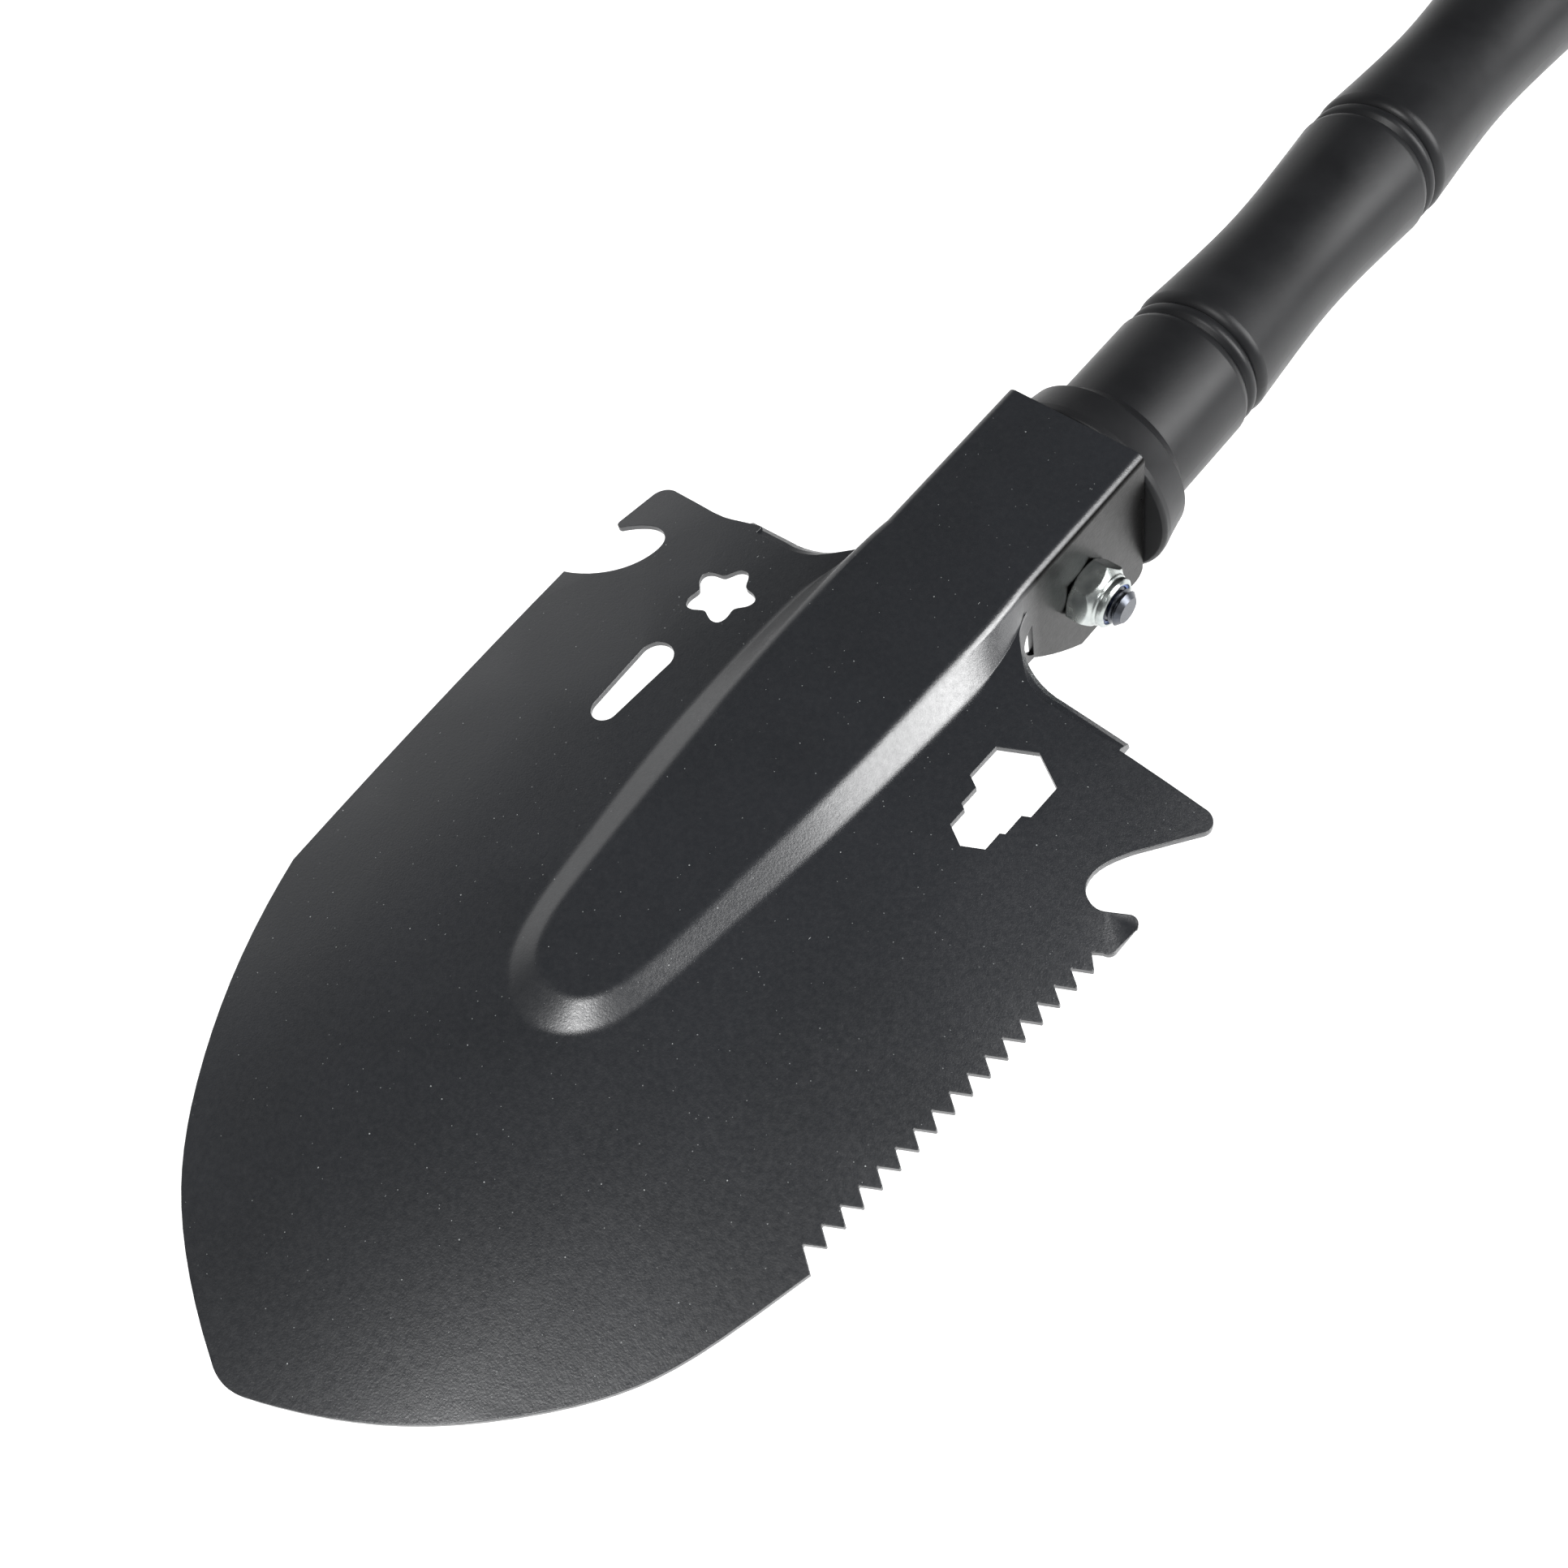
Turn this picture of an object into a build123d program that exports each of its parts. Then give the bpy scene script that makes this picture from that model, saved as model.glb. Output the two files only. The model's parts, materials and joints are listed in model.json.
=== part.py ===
from build123d import *
from math import atan2, cos, pi, radians, sin, sqrt, tan
import os

# Folding camp shovel.  Millimetres, +Z up.
# The handle's axis is the Y axis and the blade points to -Y, with its raised rib upwards.
# The origin is on the handle's axis, in the middle of the front sleeve's plain cylinder.
# Plan distances of the blade are measured from its point and shifted by TIP_TO_ORIGIN.

# ---- overall layout
TIP_TO_ORIGIN = 270.0
OVERALL_LENGTH = 577.0
SHEET_T = 1.3

# ---- blade plate: a shallow dish, bulging towards the rib side
EDGE_Z = 13.5
DISH_TOP_Z = 21.3
DISH_Y = 110.0
DISH_ACROSS_R = 345.0
DISH_ALONG_R = 850.0
DISH_HALF_W = 85.0
DISH_SWEEP = 10.0
DISH_CORE_DEPTH = 60.0
FRONT_LEFT = ((-67.3, 76.1), (-59.4, 55.2), (-47.7, 34.8), (-34.6, 19.3), (-20.8, 9.3), (-4.9, 1.2))
FRONT_RIGHT = ((4.0, 0.8), (8.6, 2.8), (30.2, 15.6), (45.2, 29.7), (57.3, 46.5), (62.8, 60.9), (67.1, 76.4))
LEFT_EDGE_MID = (-69.3, 118.0)
LEFT_EDGE_END = (-71.8, 159.3)
SHOULDER_Y = 189.0
SHOULDER_IN_X = 52.4

# ---- turned-down lips of the neck
LIP_Y = 188.9
LIP_START_X = {1: 49.9, -1: 45.5}
LIP_TILT = 5.0
LIP_LEVELS = ((-1.6, 1.3), (1.5, -0.1), (2.8, -1.2), (3.2, -3.0))
LIP_BAND = 2.0

# ---- saw edge
TOOTH_COUNT = 16
TOOTH_PITCH = 4.527
TOOTH_DEPTH = 2.9
TOOTH_LAND = 0.35
SAW_START_Y = 81.6
SAW_START_X = 66.35
SAW_TAPER = 0.0847

# ---- tool openings
HEX_HOLES = ((38.8, 170.7, 14.0), (39.3, 163.7, 10.0), (39.4, 158.3, 8.0))
STAR_X, STAR_Y = -36.2, 171.8
STAR_R_MEAN = 6.4
STAR_R_WAVE = 1.15
STAR_LOBES = 5
SLOT_TOP_X, SLOT_TOP_Y, SLOT_TOP_R = -36.5, 152.2, 3.75
SLOT_LOW_X, SLOT_LOW_Y, SLOT_LOW_R = -36.2, 136.8, 2.95

# ---- rib (distance from the point, half width) from the nose back to the socket
RIB_TOP_Z = 22.9
RIB_BASE_Z = 14.0
RIB_RIDGE = ((86.2, 0.0), (87.4, 5.0), (91.2, 8.4), (97.0, 10.4), (110.0, 12.0), (125.0, 13.2),
             (140.0, 14.5), (155.0, 15.6), (170.0, 16.3), (187.0, 16.7))
RIB_FOOT = ((79.0, 0.0), (81.8, 7.8), (87.5, 12.4), (95.0, 14.9), (110.0, 17.1), (125.0, 19.0),
            (140.0, 20.5), (155.0, 21.3), (170.0, 21.8), (186.0, 21.5))
RIB_SHIFT_X = -0.6
RIB_SHIFT_FADE = 25.0
RIB_MERGE_Y = 203.0
RIB_OVERRUN = 6.0
RIDGE_R = 2.0

# ---- socket channel
SOCKET_HALF_W = 17.1
SOCKET_REAR_Y = 244.0
SOCKET_FRONT_Y = 205.2
SOCKET_BOTTOM_Z = -16.8
SOCKET_BEND_R = 2.0
SOCKET_CORNER_R = 2.6
FLANGE_FOOT_Y = 221.5
FLANGE_CURVE = (211.6, -8.6)
FLANGE_FRONT_Z = -1.7
RELIEF_BACK_Y = 202.4
RELIEF_TOP_Z, RELIEF_LOW_Z = 9.4, -1.0

# ---- hinge (M8 bolt with a locking nut)
PIVOT_Y = 222.8
PIVOT_Z = 2.6
BOLT_R = 4.0
BOLT_HOLE_R = 4.1
THREAD_PITCH = 1.25
THREAD_DEPTH = 0.65
THREAD_TURNS = 8
BOLT_END_X = 28.1
BOLT_END_CHAMFER = 1.1
BOLT_FLATS = 13.0
BEVEL_RISE = 3.0
BEVEL_RUN = 1.7
HEAD_BEVEL_R = 6.0
HEAD_H = 5.3
NUT_FLATS = 13.0
NUT_TURN = 12.0
NUT_H = 8.2
NUT_HEX_H = 5.9
NUT_SEAT_BEVEL_R = 6.4
NUT_TOP_BEVEL_R = 5.8
NUT_TOP_BEVEL_RUN = 2.9
NUT_COLLAR_R = 5.9
NUT_COLLAR_H = 0.3
NUT_CROWN_R = 5.6
NUT_CROWN_EDGE = 0.5
NUT_LIP_T = 0.4
NUT_LIP_R = 4.7
INSERT_START_X = 5.6
INSERT_POCKET_R = 5.0
INSERT_R = 4.97
INSERT_BORE_R = 4.02
WASHER_T = 1.2
WASHER_R = 9.5
BLOCK_HALF_W = 14.45
BLOCK_NOSE_R = 12.6
BLOCK_REAR_Y = 240.2
BLOCK_HALF_H = 11.4
BLOCK_CHAMFER = 1.2
BLOCK_BORE_R = 4.06

# ---- locking stud and front sleeve
STUD_R = 8.0
STUD_SEAT_R = 7.96
STUD_PITCH = 2.5
STUD_THREAD_DEPTH = 1.1
STUD_SEAT_Y = 234.6
STUD_END_Y = 292.0
SLEEVE_FACE_Y = 244.5
RIM_FACE_R = 21.5
RIM_R = 22.3
RIM_LAND_END_Y = 246.6
FLARE_R, FLARE_Y = 20.7, 254.0
SLEEVE_R = 17.25
SLEEVE_STEP_Y = 257.6
RECESS_R, RECESS_Y = 14.2, 254.2
NUT_TUBE_FLANGE_R, NUT_TUBE_FLANGE_Y = 14.0, 251.6
NUT_TUBE_END_Y = 272.4
NUT_TUBE_BORE_R = 8.06

# ---- handle sections
NODE_PITCH = 72.65
NODE_FIRST_Y = 286.4
NODE_COUNT = 4
CREST_R = 17.05
CREST_OFFSET = 3.4
GROOVE_OFFSET = 1.9
GROOVE_R = 15.6
BEAD_R = 16.8
WAIST_R = 15.25
SECTION_BORE_R = 11.0
JOINER_R = 10.95
JOINER_HALF_LEN = 13.0
JOINER_BORE_R = 9.2

# ---- tail cap
CAP_Y = 564.4
CAP_JOIN_R = 16.2
CAP_CREST_R = 17.0
CAP_CREST_Y = 571.5
CAP_FACE_R = 13.6
CAP_SPIGOT_LEN = 13.0
CAP_SPIGOT_R = 10.9
CAP_CAVITY_R = 8.4
CAP_CAVITY_DEPTH = 9.0
FLUTE_COUNT = 12
FLUTE_R = 2.4
FLUTE_DEPTH = 0.75
FLUTE_LENGTH = 20.0
SEAL_T = 1.4
SEAL_R = 15.9
LANYARD_R = 2.75
LANYARD_Y = 571.0


def py(from_point):
    """Plan distance from the blade's point, turned into this file's Y."""
    return from_point - TIP_TO_ORIGIN


def pt(x, from_point):
    return (x, py(from_point))


def revolve_y(profile):
    """Closed (radius, distance from the point) outline turned about the handle's axis."""
    pts = [(r, py(y)) for r, y in profile]
    face = make_face(Polyline(*pts, close=True))
    return revolve(face, axis=Axis.Y, revolution_arc=360)


def tube_y(r_out, r_in, y0, y1):
    return revolve_y([(r_in, y0), (r_out, y0), (r_out, y1), (r_in, y1)])


def solid_y(r, y0, y1):
    return revolve_y([(0, y0), (r, y0), (r, y1), (0, y1)])


def cyl_x(r, x0, x1, from_point, z):
    disc = Plane(origin=(x0, py(from_point), z), x_dir=(0, 1, 0), z_dir=(1, 0, 0)) * Circle(r)
    return extrude(disc, amount=x1 - x0, dir=(1, 0, 0))


def hex_x(flats, x0, x1, from_point, z, turn):
    plane = Plane(origin=(x0, py(from_point), z), x_dir=(0, 1, 0), z_dir=(1, 0, 0))
    face = plane * Rot(0, 0, turn) * RegularPolygon(flats / sqrt(3), 6)
    return extrude(face, amount=x1 - x0, dir=(1, 0, 0))


# ------------------------------------------------------------------ blade outline
def saw_points():
    """Tooth tips and roots, from the front end of the saw to the thumb."""
    pts = []
    for i in range(TOOTH_COUNT):
        y = SAW_START_Y + i * TOOTH_PITCH
        x = SAW_START_X + SAW_TAPER * (y - SAW_START_Y)
        half = TOOTH_PITCH / 2
        pts.append((x - TOOTH_DEPTH - SAW_TAPER * half, y - half - TOOTH_LAND / 2))
        pts.append((x - TOOTH_DEPTH - SAW_TAPER * half, y - half + TOOTH_LAND / 2))
        pts.append((x, y - TOOTH_LAND / 2))
        pts.append((x, y + TOOTH_LAND / 2))
    return pts


def neck_edges(side, out):
    """Neck line from the shoulder to the socket's side wall, moved outwards by out."""
    s = side
    start = pt(s * LIP_START_X[side], LIP_Y + out)
    lip_end = pt(s * 35.0, LIP_Y + 0.1 + out)
    bend = pt(s * (27.2 - 0.3 * out), 190.6 + out)
    neck = pt(s * (22.0 - 0.5 * out), 195.0 + 0.8 * out)
    deep = pt(s * (18.9 - 0.35 * out), 199.2 + 0.35 * out)
    wall = pt(s * (SOCKET_HALF_W - 0.2), SOCKET_FRONT_Y)
    return [Line(start, lip_end), Spline(lip_end, bend, neck, deep, wall)]


def outline_face():
    left = [pt(x, y) for x, y in FRONT_LEFT]
    right = [pt(x, y) for x, y in FRONT_RIGHT]
    edges = [Spline(*left), ThreePointArc(left[-1], pt(-0.2, 0), right[0]), Spline(*right)]
    # saw edge, with a shallower last root against the thumb
    saw = [right[-1]] + [pt(x, y) for x, y in saw_points()]
    thumb_low = pt(71.4, 153.3)
    saw += [pt(69.8, 152.1), thumb_low]
    edges.append(Polyline(*saw))
    # thumb, cutting notch and right shoulder
    edges.append(ThreePointArc(thumb_low, pt(72.5, 153.9), pt(73.0, 155.2)))
    edges.append(Line(pt(73.0, 155.2), pt(73.2, 161.0)))
    edges.append(ThreePointArc(pt(73.2, 161.0), pt(72.5, 162.5), pt(70.8, 162.5)))
    edges.append(Line(pt(70.8, 162.5), pt(67.2, 160.1)))
    edges.append(Spline(pt(67.2, 160.1), pt(64.4, 159.6), pt(62.0, 161.2), pt(61.1, 164.2),
                        pt(61.9, 168.5), pt(64.1, 173.1)))
    edges.append(Line(pt(64.1, 173.1), pt(71.6, 184.9)))
    edges.append(ThreePointArc(pt(71.6, 184.9), pt(71.5, 188.0), pt(68.8, 189.2)))
    edges.append(Line(pt(68.8, 189.2), pt(SHOULDER_IN_X, SHOULDER_Y)))
    edges.append(Line(pt(SHOULDER_IN_X, SHOULDER_Y), pt(LIP_START_X[1], LIP_Y)))
    edges += neck_edges(1, 0)
    # across the socket
    wall = SOCKET_HALF_W - 0.2
    edges.append(Line(pt(wall, SOCKET_FRONT_Y), pt(-wall, SOCKET_FRONT_Y)))
    edges += neck_edges(-1, 0)
    # left shoulder, bottle opener hook and plain side edge
    edges.append(Line(pt(-LIP_START_X[-1], LIP_Y), pt(-54.5, 188.8)))
    edges.append(Line(pt(-54.5, 188.8), pt(-66.6, 189.6)))
    edges.append(ThreePointArc(pt(-66.6, 189.6), pt(-69.5, 188.8), pt(-70.8, 186.2)))
    edges.append(Line(pt(-70.8, 186.2), pt(-71.6, 176.4)))
    edges.append(ThreePointArc(pt(-71.6, 176.4), pt(-70.9, 175.3), pt(-69.6, 175.4)))
    edges.append(Spline(pt(-69.6, 175.4), pt(-65.6, 178.2), pt(-61.0, 179.1), pt(-58.2, 177.3),
                        pt(-57.6, 172.8), pt(-60.5, 166.3), pt(-66.0, 161.6), pt(*LEFT_EDGE_END)))
    edges.append(ThreePointArc(pt(*LEFT_EDGE_END), pt(*LEFT_EDGE_MID), left[0]))
    return make_face(edges)


def shoulder_fairing():
    """Smooth step from the left shoulder up to the neck's lip."""
    low = LIP_Y - 1.5
    return make_face([
        Spline(pt(-54.5, 188.8), pt(-50.4, 189.0), pt(-46.6, 189.9), pt(-42.0, 190.9)),
        Line(pt(-42.0, 190.9), pt(-42.0, low)),
        Line(pt(-42.0, low), pt(-54.5, low)),
        Line(pt(-54.5, low), pt(-54.5, 188.8)),
    ])


def star_face():
    pts = []
    for i in range(STAR_LOBES * 6):
        a = radians(90 + i * 60 / STAR_LOBES)
        r = STAR_R_MEAN + STAR_R_WAVE * cos(STAR_LOBES * (a - pi / 2))
        pts.append(pt(STAR_X + r * cos(a), STAR_Y + r * sin(a)))
    return make_face(Spline(*pts, periodic=True))


def slot_face():
    """Teardrop slot: two round ends joined by straight sides."""
    top_r = pt(SLOT_TOP_X + SLOT_TOP_R, SLOT_TOP_Y)
    top_l = pt(SLOT_TOP_X - SLOT_TOP_R, SLOT_TOP_Y)
    low_r = pt(SLOT_LOW_X + SLOT_LOW_R, SLOT_LOW_Y)
    low_l = pt(SLOT_LOW_X - SLOT_LOW_R, SLOT_LOW_Y)
    return make_face([
        ThreePointArc(top_l, pt(SLOT_TOP_X, SLOT_TOP_Y + SLOT_TOP_R), top_r),
        Line(top_r, low_r),
        ThreePointArc(low_r, pt(SLOT_LOW_X, SLOT_LOW_Y - SLOT_LOW_R), low_l),
        Line(low_l, top_l),
    ])


def hex_face(x, y, flats):
    return Pos(x, py(y)) * Rot(0, 0, 30) * RegularPolygon(flats / sqrt(3), 6)


# ------------------------------------------------------------------ blade solid
def dish_z(x, y):
    """Height of the plate's upper face."""
    along = DISH_ALONG_R - DISH_ACROSS_R + sqrt(DISH_ACROSS_R ** 2 - x * x)
    return DISH_TOP_Z - DISH_ALONG_R + sqrt(along ** 2 - (y - DISH_Y) ** 2)


def dish_core(inset):
    """Everything below the plate's upper face, or below that face moved down by inset."""
    r = DISH_ACROSS_R - inset
    w = DISH_HALF_W
    top = [(w * k / 4, sqrt(r * r - (w * k / 4) ** 2)) for k in range(-4, 5)]
    low = r - DISH_CORE_DEPTH
    plane = Plane(origin=(0, py(DISH_Y), DISH_TOP_Z - DISH_ACROSS_R), x_dir=(1, 0, 0), z_dir=(0, -1, 0))
    profile = make_face([
        Spline(*top),
        Line(top[-1], (w, low)),
        Line((w, low), (-w, low)),
        Line((-w, low), top[0]),
    ])
    axis = Axis((0, py(DISH_Y), DISH_TOP_Z - DISH_ALONG_R), (1, 0, 0))
    return revolve((plane * profile).rotate(axis, -DISH_SWEEP), axis=axis, revolution_arc=2 * DISH_SWEEP)


def rib_rows(inset):
    """Ridge and base lines (half width, distance) of the rib's wall, moved inwards by inset."""
    ridge, base = [], []
    for (ridge_y, ridge_w), (foot_y, foot_w) in zip(RIB_RIDGE, RIB_FOOT):
        dx, dy = foot_w - ridge_w, foot_y - ridge_y
        run = sqrt(dx * dx + dy * dy)
        drop = RIB_TOP_Z - dish_z(foot_w, foot_y)
        slope = atan2(drop, run)
        at_ridge = -inset * tan(slope / 2) / run
        at_base = (RIB_TOP_Z - RIB_BASE_Z) / drop - inset / sin(slope) / run
        ridge.append((ridge_w + dx * at_ridge, ridge_y + dy * at_ridge))
        base.append((ridge_w + dx * at_base, ridge_y + dy * at_base))
    for row in (ridge, base):
        row.append((SOCKET_HALF_W - inset, RIB_MERGE_Y))
    return ridge, base


def rib_shift(y):
    """The rib's front part sits slightly to the left of the socket's middle."""
    return RIB_SHIFT_X * min(1, (RIB_MERGE_Y - y) / RIB_SHIFT_FADE)


def rib_wire(row, knots, z):
    """Rib outline from above: one smooth line round the nose, squared off at the back."""
    right = [(rib_shift(y) + w, py(y), z) for w, y in row]
    left = [(rib_shift(y) - w, py(y), z) for w, y in reversed(row[1:])]
    w = row[-1][0]
    rear = py(RIB_MERGE_Y + RIB_OVERRUN)
    return Wire([
        Edge.make_spline([Vector(*q) for q in left + right], parameters=knots),
        Edge.make_line(right[-1], (w, rear, z)),
        Edge.make_line((w, rear, z), (-w, rear, z)),
        Edge.make_line((-w, rear, z), left[0]),
    ])


def rib_solid(inset):
    ridge, base = rib_rows(inset)
    steps = [0]
    for i in range(1, len(ridge)):
        ridge_step = sqrt((ridge[i][0] - ridge[i - 1][0]) ** 2 + (ridge[i][1] - ridge[i - 1][1]) ** 2)
        base_step = sqrt((base[i][0] - base[i - 1][0]) ** 2 + (base[i][1] - base[i - 1][1]) ** 2)
        steps.append(steps[-1] + ridge_step + base_step)
    half = [0.5 + 0.5 * s / steps[-1] for s in steps]
    knots = [1 - k for k in reversed(half[1:])] + half
    low = rib_wire(base, knots, RIB_BASE_Z)
    top = rib_wire(ridge, knots, RIB_TOP_Z - inset)
    body = Solid.make_loft([low, top], ruled=True)
    edges = body.faces().sort_by(Axis.Z)[-1].edges().sort_by(Axis.Y)[:-1]
    return fillet(edges, RIDGE_R - inset)


def channel_side():
    """Side view of the socket: rear edge, bottom edge, rounded front corner."""
    rear, front = py(SOCKET_REAR_Y), py(SOCKET_FRONT_Y)
    start = py(RIB_MERGE_Y - 2.5)
    low = SOCKET_BOTTOM_Z
    r = SOCKET_CORNER_R
    mid = r * (1 - sqrt(0.5))
    toe = (py(FLANGE_FOOT_Y), low)
    brow = (front, FLANGE_FRONT_Z - 0.4)
    return make_face([
        Line((start, RIB_TOP_Z), (rear, RIB_TOP_Z)),
        Line((rear, RIB_TOP_Z), (rear, low + r)),
        ThreePointArc((rear, low + r), (rear - mid, low + mid), (rear - r, low)),
        Line((rear - r, low), toe),
        ThreePointArc(toe, (py(FLANGE_CURVE[0]), FLANGE_CURVE[1]), brow),
        Line(brow, (start, FLANGE_FRONT_Z)),
        Line((start, FLANGE_FRONT_Z), (start, RIB_TOP_Z)),
    ])


def relief_cut():
    """Half-moon slots between the neck and the front edge of the flanges."""
    top = (py(SOCKET_FRONT_Y), RELIEF_TOP_Z)
    low = (py(SOCKET_FRONT_Y), RELIEF_LOW_Z)
    back = (py(RELIEF_BACK_Y), (RELIEF_TOP_Z + RELIEF_LOW_Z) / 2)
    moon = make_face([ThreePointArc(top, back, low), Line(low, top)])
    side = Plane(origin=(0, 0, 0), x_dir=(0, 1, 0), z_dir=(1, 0, 0)) * moon
    return extrude(side, amount=SOCKET_HALF_W + 1, both=True)


def channel_solid():
    side = Plane(origin=(0, 0, 0), x_dir=(0, 1, 0), z_dir=(1, 0, 0)) * channel_side()
    body = extrude(side, amount=SOCKET_HALF_W, both=True)
    top_edges = body.edges().filter_by(Axis.Y).group_by(Axis.Z)[-1]
    return fillet(top_edges, SOCKET_BEND_R)


def channel_hollow():
    length = SOCKET_REAR_Y - RIB_MERGE_Y + 40
    height = RIB_TOP_Z - SHEET_T - SOCKET_BOTTOM_Z + 10
    box = Box(2 * (SOCKET_HALF_W - SHEET_T), length, height)
    box = fillet(box.edges().filter_by(Axis.Y).group_by(Axis.Z)[-1], SOCKET_BEND_R - SHEET_T)
    top = RIB_TOP_Z - SHEET_T - height / 2
    return Pos(0, py(RIB_MERGE_Y - 3.5) + length / 2, top) * box


def neck_lip(side):
    """Turned-down lip: rolls over from the plate and stands upright at the socket."""
    rings = []
    for out, z in LIP_LEVELS:
        a0, b0 = neck_edges(side, out)
        a1, b1 = neck_edges(side, out - LIP_BAND)
        steps = (0, 0.25, 0.5, 0.75, 1)
        inner = Spline(*[(b1 @ t) - Vector(side * LIP_BAND * t * 0.9, 0, 0) for t in steps])
        ring = Wire([a0, b0, Line(b0 @ 1, inner @ 1), inner, a1, Line(a1 @ 0, a0 @ 0)])
        hinge = side * SHOULDER_IN_X
        lift = Pos(hinge, 0, EDGE_Z + z) * Rot(0, side * LIP_TILT, 0) * Pos(-hinge, 0, 0)
        rings.append(ring.moved(lift))
    return Solid.make_loft(rings, ruled=True)


def build_blade():
    plan = outline_face() + shoulder_fairing()
    for x, y, flats in HEX_HOLES:
        plan -= hex_face(x, y, flats)
    plan -= star_face()
    plan -= slot_face()
    prism = Pos(0, 0, EDGE_Z - 10) * extrude(plan, amount=30, dir=(0, 0, 1))
    below_top = dish_core(0)
    below_sheet = dish_core(SHEET_T)
    sheet = prism & (below_top - below_sheet)
    blade = sheet + (rib_solid(0) - below_sheet) + channel_solid()
    for side in (1, -1):
        blade += neck_lip(side) & below_top
    blade -= rib_solid(SHEET_T)
    blade -= channel_hollow()
    blade -= relief_cut()
    hole = cyl_x(BOLT_HOLE_R, -SOCKET_HALF_W - 2, SOCKET_HALF_W + 2, PIVOT_Y, PIVOT_Z)
    return blade - hole


# ------------------------------------------------------------------ hinge
def profile_x(points):
    """Closed outline of (x, radius) points turned about the pivot's axis."""
    plane = Plane(origin=(0, py(PIVOT_Y), PIVOT_Z), x_dir=(1, 0, 0), z_dir=(0, 0, 1))
    axis = Axis((0, py(PIVOT_Y), PIVOT_Z), (1, 0, 0))
    return revolve(plane * make_face(Polyline(*points, close=True)), axis=axis, revolution_arc=360)


def thread_teeth(start, count, pitch, outer, depth):
    """Zigzag of (position, radius) points for an annular thread."""
    pts = []
    for i in range(count):
        s = start + i * pitch
        pts += [(s, outer), (s + 0.12 * pitch, outer), (s + 0.5 * pitch, outer - depth),
                (s + 0.62 * pitch, outer - depth)]
    pts.append((start + count * pitch, outer))
    return pts


def hex_block(flats, x0, x1, turn, bevel_x, bevel_r, bevel_run):
    """Hexagon prism about the pivot with one end bevelled; bevel_x is that end."""
    prism = hex_x(flats, x0, x1, PIVOT_Y, PIVOT_Z, turn)
    step = bevel_run if bevel_x < (x0 + x1) / 2 else -bevel_run
    wide = bevel_r + BEVEL_RISE
    cone = [(bevel_x, 0), (bevel_x, bevel_r), (bevel_x + step, wide)]
    far = x1 + 1 if step > 0 else x0 - 1
    return prism & profile_x(cone + [(far, wide), (far, 0)])


def build_bolt():
    inner = -SOCKET_HALF_W
    head = hex_block(BOLT_FLATS, inner - HEAD_H, inner, 0, inner - HEAD_H, HEAD_BEVEL_R, BEVEL_RUN)
    first = BOLT_END_X - BOLT_END_CHAMFER - THREAD_TURNS * THREAD_PITCH
    pts = [(inner - 0.5, 0), (inner - 0.5, BOLT_R)]
    pts += thread_teeth(first, THREAD_TURNS, THREAD_PITCH, BOLT_R, THREAD_DEPTH)
    pts += [(BOLT_END_X, BOLT_R - BOLT_END_CHAMFER), (BOLT_END_X, 0)]
    return head + profile_x(pts)


def build_nut():
    x0 = SOCKET_HALF_W
    x_hex = x0 + NUT_HEX_H
    x_top = x0 + NUT_H
    body = hex_block(NUT_FLATS, x0, x_hex, NUT_TURN, x0, NUT_SEAT_BEVEL_R, BEVEL_RUN)
    body &= hex_block(NUT_FLATS, x0, x_hex, NUT_TURN, x_hex, NUT_TOP_BEVEL_R, NUT_TOP_BEVEL_RUN)
    x_collar = x_hex + NUT_COLLAR_H
    r_crown = NUT_CROWN_R
    crown = profile_x([(x_hex - 1, 0), (x_hex - 1, NUT_COLLAR_R), (x_collar, NUT_COLLAR_R),
                       (x_collar + 0.3, r_crown - 0.1), (x_collar + 0.6, r_crown),
                       (x_top - NUT_CROWN_EDGE, r_crown), (x_top, r_crown - NUT_CROWN_EDGE), (x_top, 0)])
    bore = cyl_x(BOLT_HOLE_R, x0 - 1, x_top + 1, PIVOT_Y, PIVOT_Z)
    pocket = cyl_x(INSERT_POCKET_R, x0 + INSERT_START_X, x_top - NUT_LIP_T, PIVOT_Y, PIVOT_Z)
    mouth = cyl_x(NUT_LIP_R, x_top - NUT_LIP_T - 0.2, x_top + 1, PIVOT_Y, PIVOT_Z)
    return body + crown - bore - pocket - mouth


def build_nut_insert():
    x0 = SOCKET_HALF_W + INSERT_START_X
    x1 = SOCKET_HALF_W + NUT_H - NUT_LIP_T
    ring = cyl_x(INSERT_R, x0, x1, PIVOT_Y, PIVOT_Z)
    return ring - cyl_x(INSERT_BORE_R, x0 - 1, x1 + 1, PIVOT_Y, PIVOT_Z)


def build_washer(side):
    x0 = BLOCK_HALF_W if side > 0 else -BLOCK_HALF_W - WASHER_T
    ring = cyl_x(WASHER_R, x0, x0 + WASHER_T, PIVOT_Y, PIVOT_Z)
    return ring - cyl_x(BOLT_HOLE_R, x0 - 1, x0 + WASHER_T + 1, PIVOT_Y, PIVOT_Z)


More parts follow.
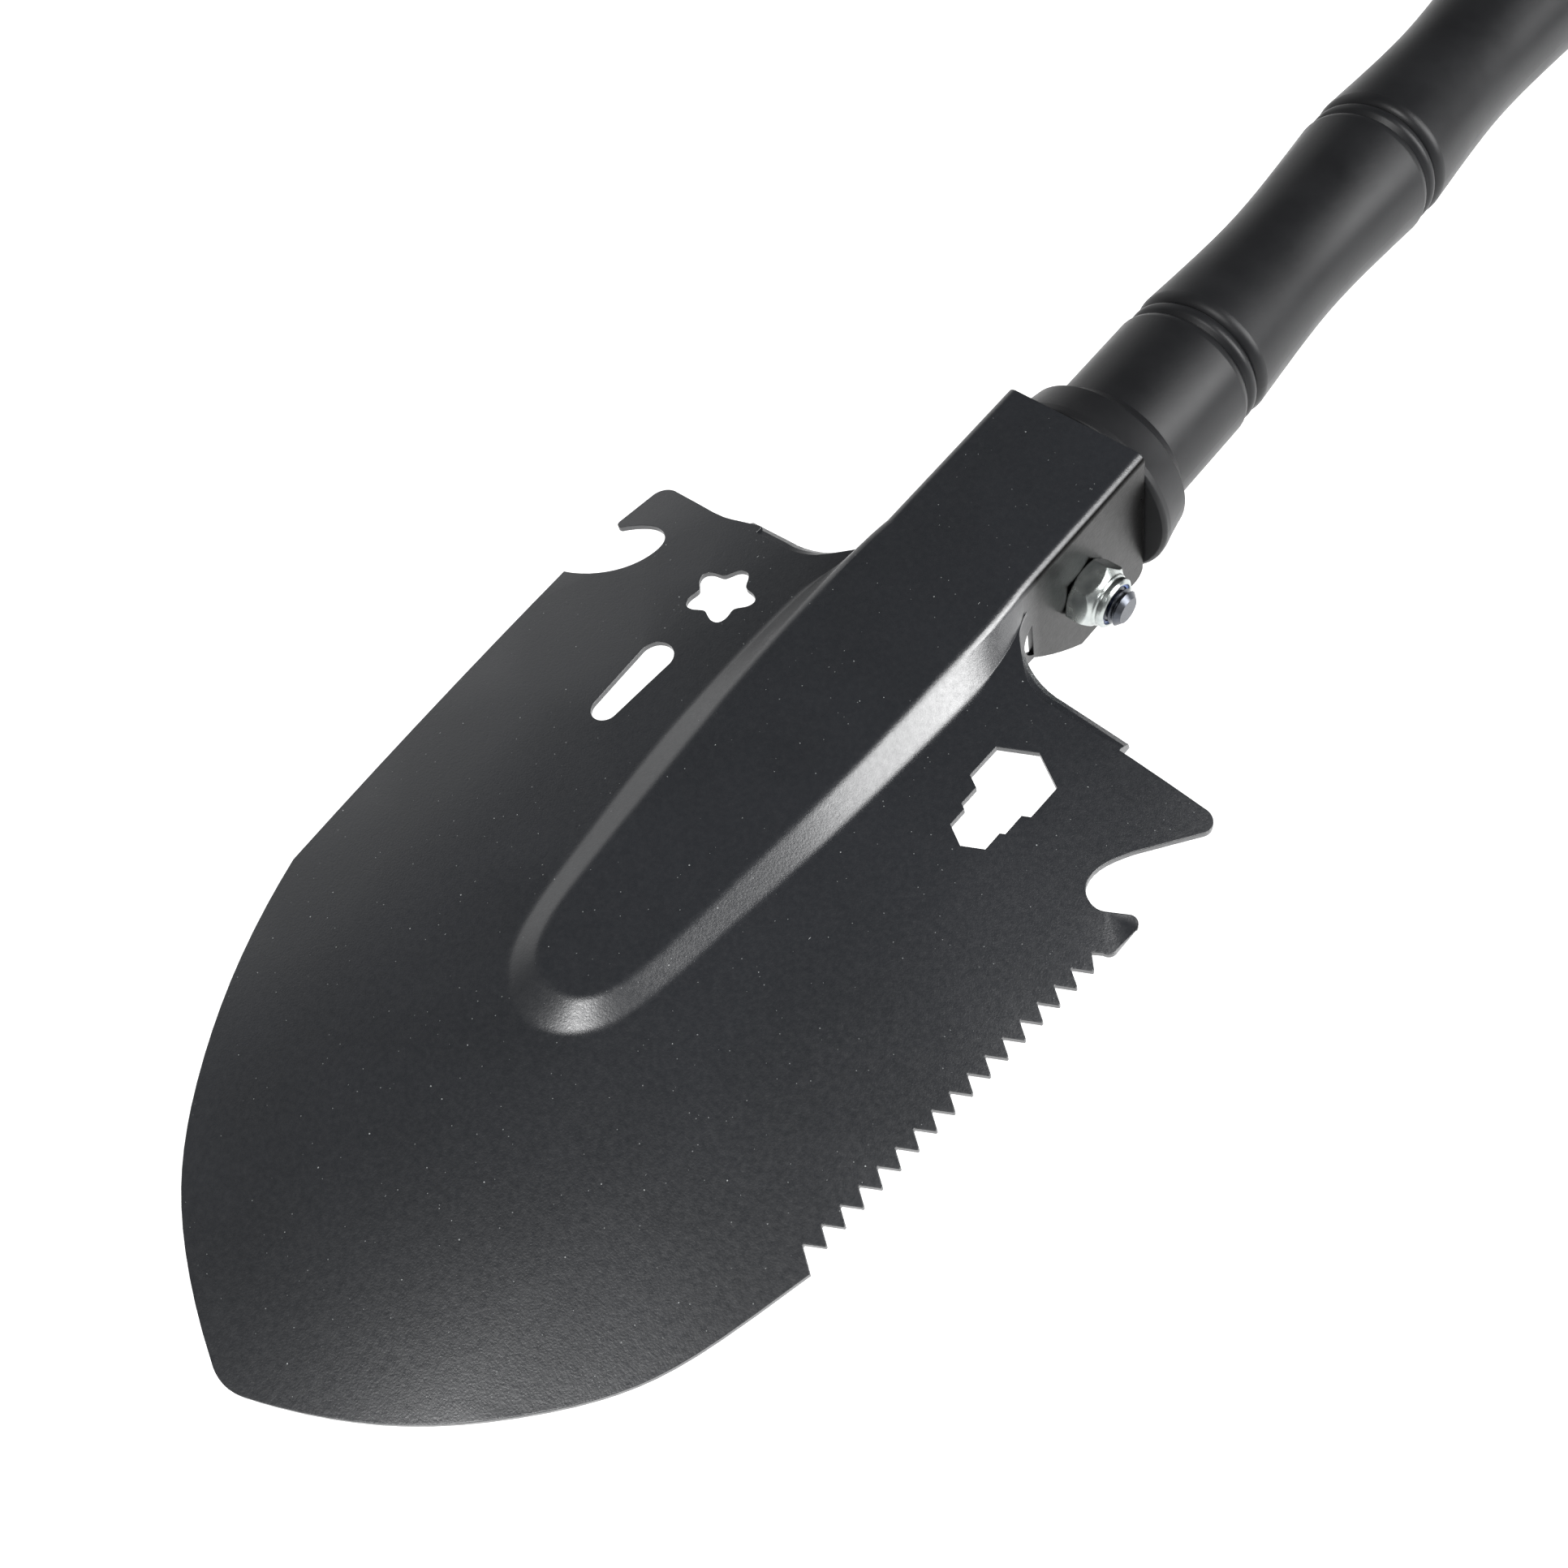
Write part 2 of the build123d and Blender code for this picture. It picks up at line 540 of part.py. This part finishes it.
def build_hinge_block():
    y_pivot, y_rear = py(PIVOT_Y), py(BLOCK_REAR_Y)
    up, down = PIVOT_Z + BLOCK_HALF_H, PIVOT_Z - BLOCK_HALF_H
    reach = sqrt(BLOCK_NOSE_R ** 2 - BLOCK_HALF_H ** 2)
    side = make_face([
        Line((y_pivot - reach, up), (y_rear, up)),
        Line((y_rear, up), (y_rear, down)),
        Line((y_rear, down), (y_pivot - reach, down)),
        ThreePointArc((y_pivot - reach, down), (y_pivot - BLOCK_NOSE_R, PIVOT_Z), (y_pivot - reach, up)),
    ])
    plane = Plane(origin=(0, 0, 0), x_dir=(0, 1, 0), z_dir=(1, 0, 0))
    block = extrude(plane * side, amount=BLOCK_HALF_W, both=True)
    block = chamfer(block.faces().sort_by(Axis.Y)[-1].edges(), BLOCK_CHAMFER)
    block -= cyl_x(BLOCK_BORE_R, -BLOCK_HALF_W - 1, BLOCK_HALF_W + 1, PIVOT_Y, PIVOT_Z)
    return block - solid_y(STUD_R, STUD_SEAT_Y, BLOCK_REAR_Y + 1)


# ------------------------------------------------------------------ stud and sleeve
def build_lock_stud():
    neck = BLOCK_REAR_Y + 1.2
    turns = int((STUD_END_Y - 1.4 - neck - 1.2) / STUD_PITCH)
    start = STUD_END_Y - 1.4 - turns * STUD_PITCH
    pts = [(0, STUD_SEAT_Y), (STUD_SEAT_R, STUD_SEAT_Y), (STUD_SEAT_R, BLOCK_REAR_Y)]
    pts += [(STUD_R - STUD_THREAD_DEPTH, neck), (STUD_R - STUD_THREAD_DEPTH, start - 0.8)]
    pts += [(r, y) for y, r in thread_teeth(start, turns, STUD_PITCH, STUD_R, STUD_THREAD_DEPTH)]
    pts += [(STUD_R - 1.4, STUD_END_Y), (0, STUD_END_Y)]
    return revolve_y(pts)


def build_front_sleeve():
    node = NODE_FIRST_Y
    crest = node - CREST_OFFSET
    groove = node - GROOVE_OFFSET
    face, land = py(SLEEVE_FACE_Y), py(RIM_LAND_END_Y)
    flare, step = py(FLARE_Y), py(SLEEVE_STEP_Y)
    outline = [
        Line((RECESS_R, face), (RIM_FACE_R, face)),
        ThreePointArc((RIM_FACE_R, face), (RIM_R - 0.25, face + 0.3), (RIM_R, face + 0.9)),
        Line((RIM_R, face + 0.9), (RIM_R - 0.1, land)),
        ThreePointArc((RIM_R - 0.1, land), (RIM_R - 1.0, (land + flare) / 2 + 0.3), (FLARE_R, flare)),
        ThreePointArc((FLARE_R, flare), (SLEEVE_R + 1.0, step - 1.3), (SLEEVE_R, step)),
        Line((SLEEVE_R, step), (SLEEVE_R, py(crest) - 1.0)),
        ThreePointArc((SLEEVE_R, py(crest) - 1.0), (CREST_R - 0.15, py(crest) + 0.2), (GROOVE_R, py(groove))),
        Line((GROOVE_R, py(groove)), (SECTION_BORE_R, py(groove))),
        Line((SECTION_BORE_R, py(groove)), (SECTION_BORE_R, py(RECESS_Y))),
        Line((SECTION_BORE_R, py(RECESS_Y)), (RECESS_R, py(RECESS_Y))),
        Line((RECESS_R, py(RECESS_Y)), (RECESS_R, face)),
    ]
    return revolve(make_face(outline), axis=Axis.Y, revolution_arc=360)


def build_sleeve_insert():
    return revolve_y([(NUT_TUBE_BORE_R + 0.5, NUT_TUBE_FLANGE_Y), (NUT_TUBE_FLANGE_R, NUT_TUBE_FLANGE_Y),
                      (NUT_TUBE_FLANGE_R, RECESS_Y), (JOINER_R, RECESS_Y), (JOINER_R, NUT_TUBE_END_Y),
                      (NUT_TUBE_BORE_R, NUT_TUBE_END_Y), (NUT_TUBE_BORE_R, NUT_TUBE_FLANGE_Y + 0.5)])


# ------------------------------------------------------------------ handle sections
def node_y(i):
    return NODE_FIRST_Y + i * NODE_PITCH


def build_joint_ring(i):
    y = py(node_y(i))
    g = GROOVE_OFFSET
    outline = [
        Line((SECTION_BORE_R, y - g), (GROOVE_R, y - g)),
        Line((GROOVE_R, y - g), (BEAD_R - 0.35, y - 1.0)),
        ThreePointArc((BEAD_R - 0.35, y - 1.0), (BEAD_R, y), (BEAD_R - 0.35, y + 1.0)),
        Line((BEAD_R - 0.35, y + 1.0), (GROOVE_R, y + g)),
        Line((GROOVE_R, y + g), (SECTION_BORE_R, y + g)),
        Line((SECTION_BORE_R, y + g), (SECTION_BORE_R, y - g)),
    ]
    return revolve(make_face(outline), axis=Axis.Y, revolution_arc=360)


def build_section(i):
    """Waisted section behind joint i, up to the next joint or the tail cap."""
    last = i == NODE_COUNT - 1
    y0 = py(node_y(i) + GROOVE_OFFSET)
    c0 = py(node_y(i) + CREST_OFFSET)
    y1 = py(CAP_Y - SEAL_T) if last else py(node_y(i + 1) - GROOVE_OFFSET)
    c1 = y1 if last else py(node_y(i + 1) - CREST_OFFSET)
    mid = py(node_y(i) + NODE_PITCH / 2)
    end_r = CAP_JOIN_R if last else CREST_R
    outline = [
        Line((SECTION_BORE_R, y0), (GROOVE_R, y0)),
        ThreePointArc((GROOVE_R, y0), (CREST_R - 0.25, c0 - 0.2), (CREST_R, c0 + 1.0)),
    ]
    back = c1 if last else c1 - 1.0
    outline.append(Spline((CREST_R, c0 + 1.0), ((CREST_R + WAIST_R) / 2 - 0.15, (c0 + mid) / 2 - 1.5),
                          (WAIST_R, mid), ((CREST_R + WAIST_R) / 2 - 0.15, 1.5 * mid - 0.5 * c0 + 1.5),
                          (end_r, back)))
    if last:
        outline.append(Line((end_r, y1), (SECTION_BORE_R, y1)))
    else:
        outline.append(ThreePointArc((CREST_R, back), (CREST_R - 0.25, c1 + 0.2), (GROOVE_R, y1)))
        outline.append(Line((GROOVE_R, y1), (SECTION_BORE_R, y1)))
    outline.append(Line((SECTION_BORE_R, y1), (SECTION_BORE_R, y0)))
    return revolve(make_face(outline), axis=Axis.Y, revolution_arc=360)


def build_joiner(i):
    y = node_y(i)
    return tube_y(JOINER_R, JOINER_BORE_R, y - JOINER_HALF_LEN, y + JOINER_HALF_LEN)


# ------------------------------------------------------------------ tail cap
def build_end_cap():
    y0, crest, tail = py(CAP_Y), py(CAP_CREST_Y), py(OVERALL_LENGTH)
    spigot = y0 - CAP_SPIGOT_LEN
    outline = [
        Line((CAP_CAVITY_R, spigot), (CAP_SPIGOT_R, spigot)),
        Line((CAP_SPIGOT_R, spigot), (CAP_SPIGOT_R, y0)),
        Line((CAP_SPIGOT_R, y0), (CAP_JOIN_R, y0)),
        ThreePointArc((CAP_JOIN_R, y0), (CAP_CREST_R - 0.2, (y0 + crest) / 2 + 0.6), (CAP_CREST_R, crest)),
        ThreePointArc((CAP_CREST_R, crest), (16.5, crest + 3.9), (CAP_FACE_R, tail)),
        Line((CAP_FACE_R, tail), (0, tail)),
        Line((0, tail), (0, spigot + CAP_CAVITY_DEPTH)),
        Line((0, spigot + CAP_CAVITY_DEPTH), (CAP_CAVITY_R, spigot + CAP_CAVITY_DEPTH)),
        Line((CAP_CAVITY_R, spigot + CAP_CAVITY_DEPTH), (CAP_CAVITY_R, spigot)),
    ]
    cap = revolve(make_face(outline), axis=Axis.Y, revolution_arc=360)
    centre = CAP_CREST_R + FLUTE_R - FLUTE_DEPTH
    for i in range(FLUTE_COUNT):
        a = 2 * pi * (i + 0.5) / FLUTE_COUNT
        rod = Plane(origin=(centre * cos(a), y0 + 1.6, centre * sin(a)), z_dir=(0, 1, 0)) * Circle(FLUTE_R)
        cap -= extrude(rod, amount=FLUTE_LENGTH)
    return cap - cyl_x(LANYARD_R, -CAP_CREST_R - 2, CAP_CREST_R + 2, LANYARD_Y, 0)


def build_cap_seal():
    y0, y1 = py(CAP_Y - SEAL_T), py(CAP_Y)
    mid = (y0 + y1) / 2
    outline = [
        Line((SECTION_BORE_R, y0), (SEAL_R - 0.4, y0)),
        ThreePointArc((SEAL_R - 0.4, y0), (SEAL_R, mid), (SEAL_R - 0.4, y1)),
        Line((SEAL_R - 0.4, y1), (SECTION_BORE_R, y1)),
        Line((SECTION_BORE_R, y1), (SECTION_BORE_R, y0)),
    ]
    return revolve(make_face(outline), axis=Axis.Y, revolution_arc=360)


parts = {
    "blade": build_blade(),
    "hinge_bolt": build_bolt(),
    "hinge_nut": build_nut(),
    "nut_insert": build_nut_insert(),
    "thrust_washer_left": build_washer(-1),
    "thrust_washer_right": build_washer(1),
    "hinge_block": build_hinge_block(),
    "lock_stud": build_lock_stud(),
    "front_sleeve": build_front_sleeve(),
    "sleeve_insert": build_sleeve_insert(),
    "end_cap": build_end_cap(),
    "cap_seal": build_cap_seal(),
}
for i in range(NODE_COUNT):
    parts[f"joint_ring_{i + 1}"] = build_joint_ring(i)
    parts[f"joiner_{i + 1}"] = build_joiner(i)
    parts[f"grip_section_{i + 1}"] = build_section(i)

os.makedirs("parts", exist_ok=True)
for name, shape in parts.items():
    export_step(shape, f"parts/{name}.step")
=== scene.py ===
import json
import bpy
from mathutils import Matrix, Vector


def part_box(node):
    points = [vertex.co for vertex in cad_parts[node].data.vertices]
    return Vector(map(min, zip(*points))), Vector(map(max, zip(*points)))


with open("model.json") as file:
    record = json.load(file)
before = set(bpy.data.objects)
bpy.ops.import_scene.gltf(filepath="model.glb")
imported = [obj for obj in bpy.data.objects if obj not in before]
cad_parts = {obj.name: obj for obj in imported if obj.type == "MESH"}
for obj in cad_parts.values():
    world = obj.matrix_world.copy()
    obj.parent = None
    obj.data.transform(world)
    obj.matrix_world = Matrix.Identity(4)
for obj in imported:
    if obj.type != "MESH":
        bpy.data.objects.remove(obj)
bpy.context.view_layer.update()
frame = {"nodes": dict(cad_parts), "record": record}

# Camp shovel: procedural finishes on the CAD nodes, a pale floor, studio light and the camera.
# Metres, in the CAD frame: the handle's axis is Y, the blade points to -Y and its rib is up.

NODES = frame["nodes"]
MM = 0.001

# ------------------------------------------------------------------ sizes and places
# pressed rib of the blade
RIB_MIDDLE_X = -0.6 * MM
RIB_SIDE_FADE = (24.5 * MM, 27.5 * MM)
RIB_NOSE_FADE = (-197 * MM, -193 * MM)
RIB_NECK_FADE = (-88 * MM, -82 * MM)
# upright walls of the socket, which carry painted shade
WALL_FADE = (16.6 * MM, 17.4 * MM)
WALL_FRONT_FADE = (-70 * MM, -62 * MM)
# rounding of edges in the finishes
CUT_EDGE_R = 0.3 * MM
PRESSED_CREASE_R = 1.7 * MM
PLATED_EDGE_R = 0.5 * MM

FLOOR_SIZE = 14.0
FLOOR_GAP = 8 * MM
FLOOR_GLOW = 0.35

# studio walls: direction, cosine at which the patch starts, level in its middle
AMBIENT = 0.15
WALL_PATCHES = (
    ((-0.95, 0.2, 0.12), 0.75, 1.0),
    ((0.9, 0.3, 0.25), 0.3, 0.3),
    ((-0.2, -1, 0.1), 0.3, 0.3),
)
# soft boxes: name, place, aim, size, watts
SOFT_BOXES = (
    ("key_right", (1.05, 0.42, 0.9), (0, -0.1, 0), (0.8, 1.3), 31),
    ("key_low", (1.26, 0.74, 0.53), (0, -0.08, 0), (0.55, 0.72), 7.5),
    ("nose_front", (0.09, -0.9, 1.32), (0, -0.19, 0), (0.45, 0.45), 14),
)

CAMERA_AT = (0.156703, -0.232644, 0.320777)
CAMERA_RIGHT = (0.752836, 0.640270, -0.152617)
CAMERA_UP = (-0.498980, 0.706375, 0.502049)
SENSOR_MM = 36.0
LENS_MM = 42.857


# ------------------------------------------------------------------ node helpers
class Mat:
    """Small builder for one procedural material."""

    def __init__(self, name):
        self.m = bpy.data.materials.new(name)
        self.m.use_nodes = True
        self.t = self.m.node_tree
        self.t.nodes.clear()
        out = self.t.nodes.new("ShaderNodeOutputMaterial")
        self.bsdf = self.t.nodes.new("ShaderNodeBsdfPrincipled")
        self.link(self.bsdf.outputs[0], out.inputs["Surface"])
        self.coord = self.t.nodes.new("ShaderNodeTexCoord").outputs["Object"]

    def set(self, **kw):
        for k, v in kw.items():
            self.bsdf.inputs[k.replace("_", " ")].default_value = v

    def link(self, a, b):
        self.t.links.new(a, b)

    def feed(self, socket, v):
        """Link v if it is an output, otherwise set it as the socket's value."""
        if isinstance(v, bpy.types.NodeSocket):
            self.link(v, socket)
        elif isinstance(v, tuple):
            socket.default_value = (*v, 1)
        else:
            socket.default_value = v

    def mapping(self, scale, rot):
        n = self.t.nodes.new("ShaderNodeMapping")
        n.inputs["Scale"].default_value = scale
        n.inputs["Rotation"].default_value = rot
        self.link(self.coord, n.inputs["Vector"])
        return n.outputs[0]

    def axes(self):
        """Object position as separate x, y and z outputs."""
        n = self.t.nodes.new("ShaderNodeSeparateXYZ")
        self.link(self.coord, n.inputs[0])
        return n.outputs

    def noise(self, scale, detail, rough):
        n = self.t.nodes.new("ShaderNodeTexNoise")
        n.inputs["Scale"].default_value = scale
        n.inputs["Detail"].default_value = detail
        n.inputs["Roughness"].default_value = rough
        self.link(self.coord, n.inputs["Vector"])
        return n.outputs["Fac"]

    def voronoi(self, scale, vector=None, out="Distance"):
        """Cells seen from above, the same at every height."""
        n = self.t.nodes.new("ShaderNodeTexVoronoi")
        n.voronoi_dimensions = "2D"
        n.inputs["Scale"].default_value = scale
        self.link(vector if vector is not None else self.coord, n.inputs["Vector"])
        return n.outputs[out]

    def value(self, fac, lo, hi, from_lo, from_hi):
        """Map fac from the range from_lo..from_hi to lo..hi, held at both ends."""
        n = self.t.nodes.new("ShaderNodeMapRange")
        n.inputs["From Min"].default_value = from_lo
        n.inputs["From Max"].default_value = from_hi
        n.inputs["To Min"].default_value = lo
        n.inputs["To Max"].default_value = hi
        self.link(fac, n.inputs["Value"])
        return n.outputs[0]

    def rise(self, fac, fade):
        return self.value(fac, 0.0, 1.0, *fade)

    def fall(self, fac, fade):
        return self.value(fac, 1.0, 0.0, *fade)

    def math(self, op, a, b=None):
        n = self.t.nodes.new("ShaderNodeMath")
        n.operation = op
        self.feed(n.inputs[0], a)
        if b is not None:
            self.feed(n.inputs[1], b)
        return n.outputs[0]

    def mix(self, fac, a, b):
        n = self.t.nodes.new("ShaderNodeMix")
        n.data_type = "RGBA"
        self.feed(n.inputs[0], fac)
        self.feed(n.inputs[6], a)
        self.feed(n.inputs[7], b)
        return n.outputs[2]

    def bump(self, height, strength, distance, normal=None):
        n = self.t.nodes.new("ShaderNodeBump")
        n.inputs["Strength"].default_value = strength
        n.inputs["Distance"].default_value = distance
        self.link(height, n.inputs["Height"])
        if normal is not None:
            self.link(normal, n.inputs["Normal"])
        return n.outputs[0]

    def bevel(self, radius, samples):
        n = self.t.nodes.new("ShaderNodeBevel")
        n.samples = samples
        self.feed(n.inputs["Radius"], radius)
        return n.outputs[0]

    def use(self, color, rough=None, normal=None, metallic=None):
        sockets = {"Base Color": color, "Roughness": rough, "Normal": normal, "Metallic": metallic}
        for name, output in sockets.items():
            if output is not None:
                self.link(output, self.bsdf.inputs[name])
        return self.m


# ------------------------------------------------------------------ materials
def specks(m, scale, rarity, small, large, vector=None):
    """Scattered dots: one in a few cells, with a radius between small and large of a cell."""
    sep = m.t.nodes.new("ShaderNodeSeparateColor")
    m.link(m.voronoi(scale, vector, out="Color"), sep.inputs[0])
    chosen = m.math("GREATER_THAN", sep.outputs[0], rarity)
    radius = m.value(sep.outputs[1], small, large, 0.0, 1.0)
    dot = m.math("LESS_THAN", m.voronoi(scale, vector), radius)
    return m.math("MULTIPLY", chosen, dot)


def blade_paint():
    """Powder coat: orange peel, grit, dust, a few hairs; painted shade on the socket's walls,
    darker and metallic there.
    """
    m = Mat("blade_powder_coat")
    peel = m.noise(2600, 2.0, 0.5)
    cloud = m.noise(22, 3.0, 0.55)
    grit = m.noise(900, 4.0, 0.7)
    blotch = m.value(cloud, 0.0, 1.0, 0.35, 0.65)
    base = m.mix(blotch, (0.0040, 0.0050, 0.0070), (0.0065, 0.0076, 0.0102))
    coarse = specks(m, 300, 0.94, 0.016, 0.045)
    fine = specks(m, 620, 0.94, 0.03, 0.075)
    stretched = m.mapping((1.0, 0.22, 1.0), (0, 0, 0.9))
    hair = specks(m, 250, 0.96, 0.008, 0.018, stretched)
    faint = m.math("MULTIPLY", fine, 0.55)
    dust = m.math("MAXIMUM", coarse, m.math("MAXIMUM", faint, hair))
    color = m.mix(dust, base, (0.20, 0.21, 0.21))
    satin = m.value(grit, 0.27, 0.36, 0.3, 0.7)
    rough = m.math("ADD", satin, m.math("MULTIPLY", dust, 0.3))
    height = m.math("ADD", m.math("MULTIPLY", peel, 0.6), m.math("MULTIPLY", grit, 0.5))
    # pressed rib: its creases are rounded far more than the cut edges of the sheet
    x, y, _ = m.axes()
    across = m.math("ABSOLUTE", m.math("ADD", x, -RIB_MIDDLE_X))
    in_width = m.fall(across, RIB_SIDE_FADE)
    behind_nose = m.rise(y, RIB_NOSE_FADE)
    before_neck = m.fall(y, RIB_NECK_FADE)
    pressed = m.math("MULTIPLY", m.math("MULTIPLY", in_width, behind_nose), before_neck)
    crease = m.value(pressed, CUT_EDGE_R, PRESSED_CREASE_R, 0.0, 1.0)
    normal = m.bump(height, 0.55, 0.07 * MM, m.bevel(crease, 6))
    # painted shade: the socket's upright walls are darkened to near black and made metallic, which
    # dims their reflection of the floor
    painted_wall_shade = m.math("MULTIPLY", m.rise(across, WALL_FADE), m.rise(y, WALL_FRONT_FADE))
    color = m.mix(painted_wall_shade, color, (0.0045, 0.0044, 0.0042))
    m.set(Specular_IOR_Level=0.5, IOR=1.8)
    return m.use(color, rough, normal, painted_wall_shade)


def grip_black(name, tint=1.0):
    m = Mat(name)
    cloud = m.noise(60, 4.0, 0.6)
    grain = m.noise(1800, 3.0, 0.6)
    dark = (0.0062 * tint, 0.0064 * tint, 0.0072 * tint)
    light = (0.0095 * tint, 0.0098 * tint, 0.0108 * tint)
    base = m.mix(m.value(cloud, 0.0, 1.0, 0.3, 0.7), dark, light)
    rough = m.value(cloud, 0.34, 0.44, 0.3, 0.7)
    normal = m.bump(grain, 0.25, 0.05 * MM, m.bevel(CUT_EDGE_R, 4))
    m.set(IOR=1.33)
    return m.use(base, rough, normal)


def zinc(name):
    m = Mat(name)
    cloud = m.noise(260, 3.0, 0.6)
    grain = m.noise(2400, 3.0, 0.6)
    base = m.mix(m.value(cloud, 0.0, 1.0, 0.3, 0.7), (0.36, 0.39, 0.39), (0.52, 0.55, 0.53))
    rough = m.value(cloud, 0.18, 0.30, 0.3, 0.7)
    normal = m.bump(grain, 0.2, 0.03 * MM, m.bevel(PLATED_EDGE_R, 4))
    m.set(Metallic=1.0)
    return m.use(base, rough, normal)


def simple(name, dark, light, smooth, rough, metallic=0.0, scale=200):
    """Clouded colour and roughness with a fine grain, for the small and hidden pieces."""
    m = Mat(name)
    cloud = m.noise(scale, 3.0, 0.6)
    grain = m.noise(scale * 9, 3.0, 0.6)
    base = m.mix(m.value(cloud, 0.0, 1.0, 0.3, 0.7), dark, light)
    roughness = m.value(cloud, smooth, rough, 0.3, 0.7)
    normal = m.bump(grain, 0.25, 0.04 * MM)
    m.set(Metallic=metallic)
    return m.use(base, roughness, normal)


MATS = {
    "blade_black": blade_paint(),
    "grip_black": grip_black("grip_anodised"),
    "ring_black": grip_black("ring_anodised", 1.1),
    "cap_black": grip_black("cap_anodised"),
    "zinc": zinc("bright_zinc"),
    "bolt_dark": simple("dark_zinc", (0.05, 0.055, 0.065), (0.10, 0.105, 0.12),
                        0.22, 0.36, 1.0, 400),
    "nylon_blue": simple("blue_nylon", (0.02, 0.06, 0.22), (0.03, 0.09, 0.30), 0.35, 0.5),
    "steel_dark": simple("blackened_steel", (0.06, 0.06, 0.065), (0.09, 0.09, 0.095),
                         0.35, 0.5, 1.0),
    "steel_plain": simple("machined_steel", (0.42, 0.42, 0.43), (0.52, 0.52, 0.53),
                          0.25, 0.4, 1.0),
    "washer": simple("natural_nylon", (0.5, 0.48, 0.42), (0.58, 0.56, 0.5), 0.4, 0.55),
    "seal": simple("black_rubber", (0.012, 0.012, 0.012), (0.018, 0.018, 0.018), 0.6, 0.75),
}

for part in frame["record"]["subparts"]:
    ob = NODES[part["node"]]
    mat = MATS[part["material_slot"]]
    if len(ob.material_slots) == 0:
        ob.data.materials.append(mat)
    for s in ob.material_slots:
        s.material = mat

# ------------------------------------------------------------------ floor
# it lies low enough for the blade to hang down when it is folded
bolt_low, bolt_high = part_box("hinge_bolt")
pivot_y = (bolt_low[1] + bolt_high[1]) / 2
pivot_z = (bolt_low[2] + bolt_high[2]) / 2
blade_reach = pivot_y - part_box("blade")[0][1]
bpy.ops.mesh.primitive_plane_add(size=FLOOR_SIZE)
floor = bpy.context.object
floor.name = "floor"
floor.location = (0, 0, pivot_z - blade_reach - FLOOR_GAP)
paper = Mat("floor_pale")
paper.use(paper.mix(paper.noise(3, 2.0, 0.5), (0.86, 0.86, 0.86), (0.88, 0.88, 0.88)))
paper.set(Roughness=0.9, Emission_Strength=FLOOR_GLOW, Emission_Color=(1, 1, 1, 1))
floor.data.materials.append(paper.m)

# ------------------------------------------------------------------ light
world = bpy.data.worlds.new("studio")
bpy.context.scene.world = world
world.use_nodes = True
wt = world.node_tree
background = wt.nodes["Background"]
background.inputs[0].default_value = (1, 1, 1, 1)
direction = wt.nodes.new("ShaderNodeTexCoord").outputs["Generated"]


def toward(vec):
    """Cosine between the looked-up direction and vec."""
    dot = wt.nodes.new("ShaderNodeVectorMath")
    dot.operation = "DOT_PRODUCT"
    wt.links.new(direction, dot.inputs[0])
    dot.inputs[1].default_value = Vector(vec).normalized()
    return dot.outputs["Value"]


def glow(vec, start, level):
    """Soft patch of studio wall: rises from nothing at cosine start to level at its middle."""
    ramp = wt.nodes.new("ShaderNodeMapRange")
    ramp.interpolation_type = "SMOOTHSTEP"
    ramp.inputs["From Min"].default_value = start
    ramp.inputs["To Max"].default_value = level
    wt.links.new(toward(vec), ramp.inputs["Value"])
    return ramp.outputs[0]


total = None
for vec, start, level in WALL_PATCHES:
    add = wt.nodes.new("ShaderNodeMath")
    add.operation = "ADD"
    wt.links.new(glow(vec, start, level), add.inputs[0])
    if total is None:
        add.inputs[1].default_value = AMBIENT
    else:
        wt.links.new(total, add.inputs[1])
    total = add.outputs[0]
wt.links.new(total, background.inputs[1])


def soft_box(name, pos, aim, size, watts):
    lamp = bpy.data.lights.new(name, "AREA")
    lamp.shape = "RECTANGLE"
    lamp.size, lamp.size_y = size
    lamp.energy = watts
    box = bpy.data.objects.new(name, lamp)
    bpy.context.collection.objects.link(box)
    box.location = pos
    box.rotation_euler = (Vector(aim) - Vector(pos)).to_track_quat("-Z", "Y").to_euler()


for row in SOFT_BOXES:
    soft_box(*row)

# ------------------------------------------------------------------ camera
cam_data = bpy.data.cameras.new("camera")
cam = bpy.data.objects.new("camera", cam_data)
bpy.context.collection.objects.link(cam)
bpy.context.scene.camera = cam
cam_data.sensor_fit = "HORIZONTAL"
cam_data.sensor_width = SENSOR_MM
cam_data.lens = LENS_MM
cam_data.clip_start = 0.01
cam_data.clip_end = 50
right = Vector(CAMERA_RIGHT).normalized()
back = right.cross(Vector(CAMERA_UP).normalized())
up = back.cross(right)
turn = Matrix((right, up, back)).transposed().to_4x4()
cam.matrix_world = Matrix.Translation(CAMERA_AT) @ turn

bpy.context.scene.view_settings.view_transform = "Standard"
bpy.context.scene.view_settings.look = "None"
